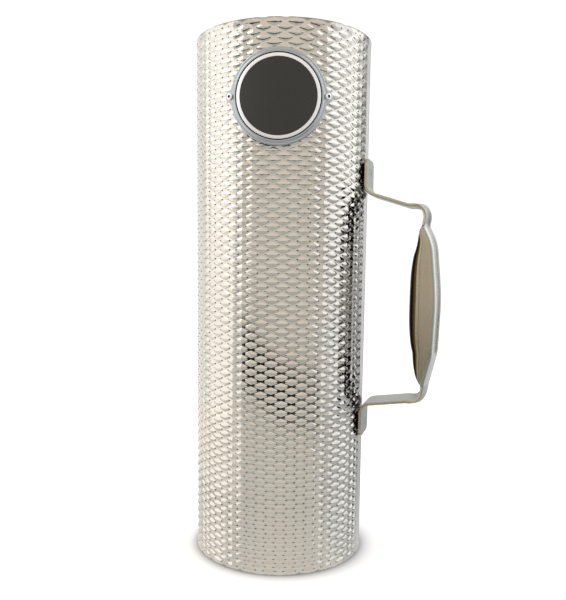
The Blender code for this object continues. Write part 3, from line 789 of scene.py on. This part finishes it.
def make_handle(material):
    """The pressed strap: a closed section carried along the side outline, square to it all the way.

    The feet's corners are arcs, the crown grows along the arms, and the wings' depth is a parabola's power.
    """
    stations, spots, length = strap_path()
    ahead = unit(np.gradient(stations, spots, axis=0))
    outward = np.stack([-ahead[:, 1], ahead[:, 0]], axis=1)
    reach, z = stations.T
    inward = np.maximum(0.0, FOOT_CORNER_R - np.minimum(spots, length - spots))
    half = STRAP_W / 2 - FOOT_CORNER_R + np.sqrt(FOOT_CORNER_R**2 - inward**2)
    crown = CROWN_H * smooth(CROWN_FROM, CROWN_FULL_AT, reach)
    lens = np.maximum(0.0, 1 - ((z - WING_MID_Z) / WING_HALF) ** 2)
    depth = WING_DEPTH * lens**WING_SWELL
    sections = [strap_section(*sizes) for sizes in zip(half, crown, depth)]
    loops = np.array([strap_loop(*section) for section in sections])
    out = FOOT_FACE_R + reach[:, None] + outward[:, :1] * loops[..., 1]
    up = z[:, None] + outward[:, 1:] * loops[..., 1]
    points = np.stack([out, loops[..., 0], up], axis=-1)
    on_foot = (reach < FOOT_FLAT_REACH)[:, None] & (loops[..., 1] > -STRAP_T / 2)
    for mark_z in ((UPPER_TIP_Z + UPPER_BEND_Z) / 2 + WELD_MARK_SHIFT,
                   (LOWER_TIP_Z + LOWER_BEND_Z) / 2 - WELD_MARK_SHIFT):
        points[..., 0] -= np.where(on_foot, weld_dent(points, mark_z), 0.0)
    rows, columns = loops.shape[:2]
    first, last = loop_ends(rows, columns)
    faces = turned_over(grid_faces(rows, columns, wrap_columns=True)) + [first, last[::-1]]
    handle = add_piece("strap_handle", points.reshape(-1, 3), faces, material, "handle_strap",
                       STRAP_CREASE)
    # Painted light and shade: turns that pick the tones of the inner faces, the seats and the plain strap
    inner = ARM_TONE + (GRIP_TONE - ARM_TONE) * smooth(GRIP_TONE_FROM, WING_DEPTH, depth)
    inner = np.where(reach < STRAP_T / 4, SEAT_TONE, inner)
    plain = FOOT_TONE + (STRAP_TONE - FOOT_TONE) * smooth(*FOOT_TO_ARM, reach)
    turns = [section_turn(*section, *values) for section, *values in zip(sections, depth, plain, inner)]
    add_value(handle, "turn", np.array(turns))
    return handle


def saddled(radius, angle, height):
    """Badge points from a radius and an angle seen from the front, laid on the tube at an even height.

    The plate is a touch wider than tall, and its sides sit higher than its middle by a square of across.
    """
    across = BADGE_WIDE * radius * np.cos(angle)
    up = BADGE_TALL * radius * np.sin(angle) + BADGE_BOW * (across / RIVET_OFFSET) ** 2
    forward = np.sqrt((SEAT_R + height) ** 2 - across**2)
    turn = np.arctan2(across, forward) + BADGE_ANGLE
    return round_tube(turn, BADGE_Z + up, np.hypot(across, forward))


def badge_angles():
    """Angles round the badge, drawn together towards the ears on either side by a sine of twice the angle."""
    even = np.linspace(0.0, 2 * math.pi, BADGE_SEGMENTS, endpoint=False)
    return even - EAR_CROWDING * np.sin(2 * even)


def saddled_rings(profile):
    """Rings of badge points from a profile of (radius, height), whose radius may change round the badge."""
    angle = badge_angles()
    return np.array([saddled(np.full_like(angle, r), angle, np.full_like(angle, h)) for r, h in profile])


def rounded_edge(side, top, across, points):
    """A profile's rounded edge: a quarter arc from a side up to a top, going across by its signed radius."""
    return [(side + across * (1 - math.cos(a)), top - abs(across) * (1 - math.sin(a)))
            for a in quarter_turn(points)]


def make_bezel(material):
    """The badge's frame: a profile turned round, whose rim swells into two ears by a raised cosine."""
    offset = BEZEL_R * np.arcsin(np.abs(np.sin(badge_angles())))
    swell = 0.5 * (1 + np.cos(math.pi * np.minimum(1.0, offset / EAR_HALF)))
    rim = BEZEL_R + EAR_OUT * swell
    flange_end = rim - BEZEL_BEVEL
    arc = quarter_turn(ARC_POINTS)
    lip_start, lip_end = RECESS_R + LIP_FLAT, RECESS_R + LIP_FLAT + LIP_EDGE_R
    slope = np.linspace(LIP_SLOPE_FROM, 1.0, ARC_POINTS)
    ease = slope * slope * (3 - 2 * slope)
    lip_side = LIP_H - LIP_EDGE_R
    profile = [(LEDGE_R, 0.0), (LEDGE_R, LEDGE_H), (RECESS_R, LEDGE_H)]
    profile += rounded_edge(RECESS_R, LIP_H, LIP_EDGE_R, ARC_POINTS)
    profile += [(lip_start + LIP_EDGE_R * math.sin(a), LIP_H - LIP_EDGE_R * (1 - math.cos(a))) for a in arc]
    profile += [(lip_end + (LIP_FOOT_R - lip_end) * s, lip_side - (lip_side - FLANGE_H) * e)
                for s, e in zip(slope, ease)]
    profile += [(LIP_FOOT_R + share * (flange_end - LIP_FOOT_R), FLANGE_H) for share in FLANGE_ROWS]
    profile += [(rim - BEZEL_BEVEL * (1 - math.sin(a)), FLANGE_H - BEZEL_BEVEL * (1 - math.cos(a)))
                for a in arc]
    profile += [(rim, 0.0)]
    profile += [(LEDGE_R + share * (rim - LEDGE_R), 0.0) for share in UNDERSIDE_ROWS]
    points = saddled_rings(profile)
    faces = turned_over(grid_faces(len(profile), BADGE_SEGMENTS, wrap_columns=True, wrap_rows=True))
    bezel = add_piece("badge_frame", points.reshape(-1, 3), faces, material, "badge_bezel",
                      BADGE_CREASE)
    # Painted shade: the ledge and the recess wall inside the lip are darkened as the groove's shade
    groove = np.zeros(points.shape[:2])
    groove[:GROOVE_ROWS] = 1.0
    add_value(bezel, "groove", groove)
    return bezel


def make_disc(name, profile, material, node):
    """A saddled disc from a profile of (radius, height) that begins and ends on the badge's middle.

    Its side, up to the first step of the rounded top edge, has a value of its own: painted shade on the
    groove's wall.
    """
    rings = profile[1:-1]
    points = saddled_rings(rings).reshape(-1, 3)
    ends = np.array([profile[0][1], profile[-1][1]])
    middle = saddled(np.zeros(2), np.zeros(2), ends)
    faces = grid_faces(len(rings), BADGE_SEGMENTS, wrap_columns=True)
    first = np.arange(BADGE_SEGMENTS)
    after = (first + 1) % BADGE_SEGMENTS
    count = len(points)
    last = count - BADGE_SEGMENTS
    faces += np.stack([np.full_like(first, count), after, first], -1).tolist()
    faces += np.stack([np.full_like(first, count + 1), last + first, last + after], -1).tolist()
    points = np.concatenate([points, middle])
    disc = add_piece(name, points, turned_over(faces), material, node, BADGE_CREASE)
    # Painted shade on the disc's side, as the groove's wall
    side = np.array([r >= rings[2][0] and h < rings[3][1] for r, h in rings], float)
    add_value(disc, "groove", np.append(np.repeat(side, BADGE_SEGMENTS), (0.0, 0.0)))
    return disc


def make_ring(material):
    """The bare aluminium disc: flat underneath, rounded at its edge, with a step down inside the ring."""
    floor = BADGE_TOP_H - RING_STEP
    profile = [(0.0, FACE_H), (FACE_R / 2, FACE_H), (FACE_R, FACE_H)]
    profile += rounded_edge(FACE_R, BADGE_TOP_H, -RING_EDGE_R, RING_EDGE_POINTS)
    profile += [(RING_INNER_R, BADGE_TOP_H), (RING_INNER_R, floor), (RING_INNER_R / 2, floor), (0.0, floor)]
    return make_disc("badge_ring", profile, material, "badge_face")


def make_field(material):
    """The bare dark field laid in the ring, just under its top."""
    profile = [(0.0, FIELD_UNDER), (FIELD_R / 2, FIELD_UNDER), (FIELD_R, FIELD_UNDER), (FIELD_R, FIELD_TOP)]
    profile += [(FIELD_R * k / FIELD_RINGS, FIELD_TOP) for k in range(FIELD_RINGS - 1, -1, -1)]
    return make_disc("badge_field", profile, material, "badge_inlay")


def turned_piece(name, profile, turn, material, node):
    """A profile of (radius, distance from the tube's axis) turned round, pointing out through the wall."""
    r, out = np.array(profile).T[:, :, None]
    angle = np.linspace(0.0, 2 * math.pi, RIVET_SEGMENTS, endpoint=False)[None]
    y, up = r * np.cos(angle), r * np.sin(angle)
    out = np.broadcast_to(out, y.shape)
    azimuth = BADGE_ANGLE + turn
    points = np.stack([out * math.cos(azimuth) - y * math.sin(azimuth),
                       out * math.sin(azimuth) + y * math.cos(azimuth), BADGE_Z + BADGE_BOW + up], axis=-1)
    faces = turned_over(grid_faces(len(profile), RIVET_SEGMENTS, wrap_columns=True, wrap_rows=True))
    return add_piece(name, points.reshape(-1, 3), faces, material, node, BADGE_CREASE)


def make_rivet(side, turn, material):
    """A blind rivet's hollow body: rounded mouth, domed head, shank and a half-sine bulb, turned round."""
    brim = RIVET_HEAD_R - RIVET_BORE_R - RIVET_MOUTH_R
    edge = RIVET_SEAT + RIVET_EDGE_H
    top = edge + RIVET_DOME_H
    swell = RIVET_BULB_R - RIVET_SHANK_R
    bulge = np.linspace(0.0, math.pi, RIVET_BULB_POINTS)[1:]
    profile = rounded_edge(RIVET_BORE_R, top, RIVET_MOUTH_R, RIVET_MOUTH_POINTS)
    profile += [(RIVET_BORE_R + RIVET_MOUTH_R + brim * math.sin(a), edge + RIVET_DOME_H * math.cos(a))
                for a in quarter_turn(RIVET_DOME_POINTS)[1:]]
    profile += [(RIVET_HEAD_R, RIVET_SEAT), (RIVET_SHANK_R, RIVET_SEAT), (RIVET_SHANK_R, RIVET_TAIL)]
    profile += [(RIVET_SHANK_R + swell * math.sin(a), RIVET_TAIL - RIVET_BULB_L * a / math.pi) for a in bulge]
    profile += [(RIVET_BORE_R, RIVET_TAIL - RIVET_BULB_L)]
    rivet = turned_piece(f"rivet_{side}", profile, turn, material, f"badge_rivet_{side}")
    # Painted shade: the bore's wall, from the last point round to the first, is darkened
    bore = np.zeros(len(profile))
    bore[[0, -1]] = 1.0
    add_value(rivet, "bore", np.repeat(bore, RIVET_SEGMENTS))
    return rivet


def make_mandrel(side, turn, material):
    """The broken-off mandrel in a rivet: a rough stub deep in the bore, and its head behind the bulb."""
    top = RIVET_SEAT + RIVET_EDGE_H + RIVET_DOME_H - MANDREL_DEPTH
    head = RIVET_TAIL - RIVET_BULB_L - RIVET_GAP
    tail = head - MANDREL_HEAD_L
    profile = [(MANDREL_R * share, top - MANDREL_BREAK * drop) for share, drop in MANDREL_STUB]
    profile += [(MANDREL_R, top - MANDREL_BREAK), (MANDREL_R, head), (MANDREL_HEAD_R, head)]
    profile += [(MANDREL_HEAD_R, head - MANDREL_HEAD_L / 2), (MANDREL_R, tail)]
    profile += [(MANDREL_R * MANDREL_CORE, tail)]
    return turned_piece(f"mandrel_{side}", profile, turn, material, f"badge_mandrel_{side}")


def new_material(name):
    """A new material, its node tree and its shader's inputs."""
    material = bpy.data.materials.new(name)
    material.use_nodes = True
    return material, material.node_tree, material.node_tree.nodes["Principled BSDF"].inputs


def shader_node(tree, kind, inputs=(), output=0, **settings):
    """An output of a new shader node, whose inputs are linked to other outputs or set to plain values."""
    step = tree.nodes.new("ShaderNode" + kind)
    for name, value in settings.items():
        setattr(step, name, value)
    for name, value in dict(inputs).items():
        if isinstance(value, bpy.types.NodeSocket):
            tree.links.new(value, step.inputs[name])
        else:
            step.inputs[name].default_value = value
    return step.outputs[output]


def worked_out(tree, operation, *values):
    """The result of a Math node on outputs or plain values."""
    return shader_node(tree, "Math", enumerate(values), operation=operation)


def between(tree, share, first, second):
    """A colour between two others by a share."""
    return shader_node(tree, "Mix", {"Factor": share, "A": first, "B": second}, "Result", data_type="RGBA")


def point_value(tree, name):
    """One of the piece's own point values."""
    return shader_node(tree, "Attribute", output="Fac", attribute_name=name)


def mapped(tree, value, from_span, to_span):
    """A value brought from one span to another and held to its ends."""
    names = ("Value", "From Min", "From Max", "To Min", "To Max")
    return shader_node(tree, "MapRange", zip(names, (value, *from_span, *to_span)))


def grain_group():
    """Fine grain for metal: stretched noise as a roughness and a bump height, and slow cloudy smears."""
    group = bpy.data.node_groups.new("metal_grain", "ShaderNodeTree")
    sockets = (("Stretch", "INPUT", "Vector"), ("Low", "INPUT", "Float"), ("High", "INPUT", "Float"),
               ("Roughness", "OUTPUT", "Float"), ("Height", "OUTPUT", "Float"), ("Smear", "OUTPUT", "Float"))
    for name, side, kind in sockets:
        group.interface.new_socket(name, in_out=side, socket_type=f"NodeSocket{kind}")
    entry, leave = group.nodes.new("NodeGroupInput"), group.nodes.new("NodeGroupOutput")
    stretch, low, high = (entry.outputs[name] for name in ("Stretch", "Low", "High"))
    place = shader_node(group, "TexCoord", output="Object")
    stretched = shader_node(group, "VectorMath", {0: place, 1: stretch}, operation="MULTIPLY")
    fine_look = {"Vector": stretched, "Scale": 1.0, "Detail": GRAIN_DETAIL}
    smear_look = {"Vector": place, "Scale": SMEAR_SCALE, "Detail": SMEAR_DETAIL}
    fine = shader_node(group, "TexNoise", fine_look, "Fac")
    cloud = shader_node(group, "TexNoise", smear_look, "Fac")
    half = worked_out(group, "MULTIPLY", cloud, 1 - GRAIN_SHARE)
    both = worked_out(group, "MULTIPLY_ADD", fine, GRAIN_SHARE, half)
    rough = mapped(group, both, GRAIN_SPAN, (low, high))
    for name, value in (("Roughness", rough), ("Height", fine), ("Smear", cloud)):
        group.links.new(value, leave.inputs[name])
    return group


def tone_row(tree, share, steps):
    """A row of colours along a value that runs up to the last step, from its share of that step."""
    ramp = tree.nodes.new("ShaderNodeValToRGB")
    stops = ramp.color_ramp.elements
    while len(stops) < len(steps):
        stops.new(0.5)
    for stop, (place, tone) in zip(stops, steps):
        stop.position = place / steps[-1][0]
        stop.color = (*tone, 1.0)
    tree.links.new(share, ramp.inputs["Fac"])
    return ramp.outputs["Color"]


def toned(tree, base, attribute, seen, reflected):
    """Painted light and shade: a colour times a row of tones along a point value, or another where
    reflections see it.
    """
    share = worked_out(tree, "DIVIDE", point_value(tree, attribute), seen[-1][0])
    in_reflection = shader_node(tree, "LightPath", output="Is Glossy Ray")
    tones = between(tree, in_reflection, tone_row(tree, share, seen), tone_row(tree, share, reflected))
    return shader_node(tree, "VectorMath", {0: base, 1: tones}, operation="MULTIPLY")


def metal(name, grain, colour, second, stretch, roughness, bump, metallic=1.0, shades=(), tones=None):
    """A metal finish: two close colours mixed by the smears, grain in its roughness, and a fine bump.

    Each shade is painted shade: it darkens the colour by one of the piece's own point values, between a start
    and
    an end. The tones paint light and shade: they multiply it by a row of colours along a point value, and by
    another row in reflections.
    """
    material, tree, shader = new_material(name)
    shader["Metallic"].default_value = metallic
    texture = tree.nodes.new("ShaderNodeGroup")
    texture.node_tree = grain
    texture.inputs["Stretch"].default_value = stretch
    texture.inputs["Low"].default_value, texture.inputs["High"].default_value = roughness
    base = between(tree, texture.outputs["Smear"], (*colour, 1.0), (*second, 1.0))
    if tones:
        base = toned(tree, base, *tones)
    for attribute, start, end, darkest in shades:
        shade = mapped(tree, point_value(tree, attribute), (start, end), (1.0, darkest))
        base = shader_node(tree, "VectorMath", {0: base, "Scale": shade}, operation="SCALE")
    relief = {"Strength": bump, "Distance": GRAIN_DEPTH, "Height": texture.outputs["Height"]}
    tree.links.new(base, shader["Base Color"])
    tree.links.new(texture.outputs["Roughness"], shader["Roughness"])
    tree.links.new(shader_node(tree, "Bump", relief, "Normal"), shader["Normal"])
    return material


def make_materials():
    """The finish of each kind of piece, by two colours, the grain's stretch, the roughness and the bump."""
    grain = grain_group()
    return {
        # Painted shade on the tube's tips, valleys, rims and under its ridges
        "tube": metal("embossed_steel", grain, (0.68, 0.66, 0.625), (0.63, 0.615, 0.585),
                      stretch=(900, 900, 300), roughness=(0.06, 0.11), bump=0.04, shades=TUBE_PAINTED_SHADES),
        "seam": metal("seam_weld", grain, (0.50, 0.46, 0.40), (0.42, 0.39, 0.36),
                      stretch=(900, 900, 900), roughness=(0.20, 0.34), bump=0.10),
        # Painted light and shade along the handle's section, as seen and as the tube reflects it
        "handle": metal("satin_steel", grain, (0.95, 0.95, 0.95), (0.78, 0.78, 0.78),
                        stretch=(2500, 2500, 25), roughness=(0.20, 0.32), bump=0.06,
                        tones=("turn", HANDLE_PAINTED_LIGHT, HANDLE_REFLECTED_PAINTED_LIGHT)),
        # The bezel's groove is painted shade
        "bezel": metal("badge_grey", grain, (0.46, 0.50, 0.54), (0.40, 0.44, 0.48),
                       stretch=(1500, 1500, 1500), roughness=(0.22, 0.30), bump=0.06,
                       shades=(("groove", 0.0, 1.0, 0.04),)),
        # The ring's side is painted shade as the groove's wall
        "ring": metal("badge_aluminium", grain, (0.93, 0.96, 1.0), (0.88, 0.91, 0.95),
                      stretch=(3000, 3000, 500), roughness=(0.30, 0.42), bump=0.06,
                      shades=(("groove", 0.0, 1.0, 0.10),)),
        "field": metal("badge_charcoal", grain, (0.022, 0.022, 0.020), (0.030, 0.030, 0.027),
                       stretch=(4000, 4000, 4000), roughness=(0.55, 0.68), bump=0.12, metallic=0.0),
        # The rivet's bore is painted shade
        "rivet": metal("rivet_aluminium", grain, (0.98, 0.98, 0.98), (0.94, 0.94, 0.94),
                       stretch=(1200, 1200, 1200), roughness=(0.18, 0.30), bump=0.05,
                       shades=(("bore", 0.0, 1.0, 0.01),)),
        # Painted shade: the mandrel is near black so that the rivet's hole looks dark
        "mandrel": metal("mandrel_steel", grain, (0.02, 0.02, 0.02), (0.04, 0.04, 0.04),
                         stretch=(3000, 3000, 3000), roughness=(0.40, 0.60), bump=0.20),
    }


def from_camera(degrees, distance, height):
    """A place at an azimuth to the right of the camera, seen from the tube's axis."""
    azimuth = CAMERA_AZIMUTH + math.radians(degrees)
    away = (distance * math.cos(azimuth), distance * math.sin(azimuth), height)
    return Vector(AXIS.tolist()) + Vector(away)


def make_camera():
    """The photograph's camera: out from the tube's axis, tilted down, its optical axis below the middle."""
    data = bpy.data.cameras.new("camera")
    data.sensor_width = SENSOR
    data.lens = SENSOR * FOCAL_PX / IMAGE_LONG_SIDE
    data.shift_y = PRINCIPAL_BELOW_PX / IMAGE_LONG_SIDE
    data.clip_start = CAMERA_NEAR
    camera = bpy.data.objects.new("camera", data)
    place = Matrix.Translation(from_camera(0, CAMERA_DISTANCE, CAMERA_HEIGHT))
    turn = Matrix.Rotation(CAMERA_AZIMUTH + math.pi / 2 + CAMERA_YAW, 4, "Z")
    tilt = Matrix.Rotation(math.pi / 2 - CAMERA_PITCH, 4, "X")
    roll = Matrix.Rotation(CAMERA_ROLL, 4, "Z")
    camera.matrix_world = place @ turn @ tilt @ roll
    bpy.context.collection.objects.link(camera)
    bpy.context.scene.camera = camera


def make_floor():
    """A pale paper floor, darkened round the tube by an exponential of the distance for the camera's rays."""
    half = FLOOR_HALF
    mesh = bpy.data.meshes.new("floor")
    corners = [(-half, -half, FLOOR_Z), (half, -half, FLOOR_Z), (half, half, FLOOR_Z), (-half, half, FLOOR_Z)]
    mesh.from_pydata(corners, [], [(0, 1, 2, 3)])
    floor = bpy.data.objects.new("floor", mesh)
    bpy.context.collection.objects.link(floor)
    paper, tree, shader = new_material("floor_paper")
    shader["Roughness"].default_value = FLOOR_ROUGHNESS
    shader["Specular IOR Level"].default_value = 0.0
    shader["Emission Color"].default_value = (1.0, 1.0, 1.0, 1.0)
    place = shader_node(tree, "TexCoord", output="Object")
    middle = (AXIS[0], AXIS[1], FLOOR_Z)
    away = shader_node(tree, "VectorMath", {0: place, 1: middle}, "Value", operation="DISTANCE")
    seen = shader_node(tree, "LightPath", output="Is Camera Ray")
    beyond = worked_out(tree, "SUBTRACT", away, TUBE_R)
    faded = worked_out(tree, "EXPONENT", worked_out(tree, "DIVIDE", beyond, -SHADOW_REACH))
    shadow = worked_out(tree, "MULTIPLY", faded, seen)
    shade = worked_out(tree, "MULTIPLY_ADD", shadow, -SHADOW_DEPTH, 1.0)
    white = shader_node(tree, "VectorMath", {0: FLOOR_WHITE, "Scale": shade}, operation="SCALE")
    lift = worked_out(tree, "MULTIPLY", worked_out(tree, "MULTIPLY", seen, shade), FLOOR_LIFT)
    tree.links.new(white, shader["Base Color"])
    tree.links.new(lift, shader["Emission Strength"])
    mesh.materials.append(paper)
    floor.visible_glossy = False


def make_backdrop():
    """The world: an even light all round, and white where the camera sees it."""
    world = bpy.data.worlds.new("studio")
    bpy.context.scene.world = world
    world.use_nodes = True
    tree = world.node_tree
    room = tree.nodes["Background"]
    room.inputs["Color"].default_value = ROOM_WHITE
    room.inputs["Strength"].default_value = ROOM_STRENGTH
    plain = {"Color": (1.0, 1.0, 1.0, 1.0), "Strength": BACKDROP_STRENGTH}
    white = shader_node(tree, "Background", plain)
    seen = shader_node(tree, "LightPath", output="Is Camera Ray")
    mix = shader_node(tree, "MixShader", {0: seen, 1: room.outputs[0], 2: white})
    tree.links.new(mix, tree.nodes["World Output"].inputs["Surface"])


def softbox(name, degrees, distance, height, size, power, colour):
    """A rectangular soft light that faces the tube, seen in reflections but not by the camera."""
    data = bpy.data.lights.new(name, "AREA")
    data.shape = "RECTANGLE"
    data.size, data.size_y = size
    data.energy = power
    data.color = colour
    light = bpy.data.objects.new(name, data)
    light.location = from_camera(degrees, distance, height)
    target = Vector((AXIS[0], AXIS[1], LIGHT_AIM_Z))
    light.rotation_euler = (target - light.location).to_track_quat("-Z", "Y").to_euler()
    light.visible_camera = False
    bpy.context.collection.objects.link(light)


def glowing_card(name, points, share, glow, far_glow):
    """A grid of points as a card that glows from one colour to another by a share at each point."""
    mesh = bpy.data.meshes.new(name)
    mesh.from_pydata((points + AXIS).reshape(-1, 3).tolist(), [], grid_faces(*share.shape))
    material, tree, shader = new_material(name)
    shader["Base Color"].default_value = (0.0, 0.0, 0.0, 1.0)
    shader["Specular IOR Level"].default_value = 0.0
    shader["Emission Strength"].default_value = 1.0
    tint = between(tree, point_value(tree, "share"), (*glow, 1.0), (*far_glow, 1.0))
    tree.links.new(tint, shader["Emission Color"])
    mesh.materials.append(material)
    card = bpy.data.objects.new(name, mesh)
    bpy.context.collection.objects.link(card)
    add_value(card, "share", share)
    card.visible_camera = card.visible_diffuse = card.visible_shadow = False


def card_azimuths(degrees):
    """Azimuths across a card, from its first to its last to the right of the camera."""
    return CAMERA_AZIMUTH + np.radians(np.linspace(*degrees, CARD_COLUMNS))


def reflected_card(name, degrees, low, high, glow, top_glow=None):
    """A curved card far round the tube, between two azimuths and two edges that may slope."""
    share = np.linspace(0.0, 1.0, CARD_ROWS)[:, None]
    lower, upper = (np.linspace(*np.broadcast_to(edge, 2), CARD_COLUMNS) for edge in (low, high))
    z = (1 - share) * lower + share * upper
    points = round_tube(np.broadcast_to(card_azimuths(degrees), z.shape), z, np.full(z.shape, CARD_R))
    glowing_card(name, points, np.broadcast_to(share, z.shape), glow, top_glow or glow)


def paper_card(name, degrees, glow, far_glow):
    """Part of a flat ring on the floor round the tube, paler close by."""
    near, far = PAPER_RADII
    turn, radius = np.meshgrid(card_azimuths(degrees), np.linspace(near, far, CARD_ROWS))
    points = round_tube(turn, np.full(turn.shape, FLOOR_Z), radius)
    glowing_card(name, points, (radius - near) / (far - near), glow, far_glow)


def make_stage():
    """A pale floor, a white backdrop, soft lights, and the cards that the metal reflects."""
    make_floor()
    make_backdrop()
    for values in SOFTBOXES:
        softbox(*values)
    for values in REFLECTED_CARDS:
        reflected_card(*values)
    for values in PAPER_CARDS:
        paper_card(*values)
    bpy.context.scene.view_settings.view_transform = "Standard"


def main():
    """All the pieces with their finishes, the camera and the stage."""
    finish = make_materials()
    make_tube(finish["tube"])
    make_seam(finish["seam"])
    make_handle(finish["handle"])
    make_bezel(finish["bezel"])
    make_ring(finish["ring"])
    make_field(finish["field"])
    for side, turn in (("left", -RIVET_ANGLE), ("right", RIVET_ANGLE)):
        make_rivet(side, turn, finish["rivet"])
        make_mandrel(side, turn, finish["mandrel"])
    make_camera()
    make_stage()


main()
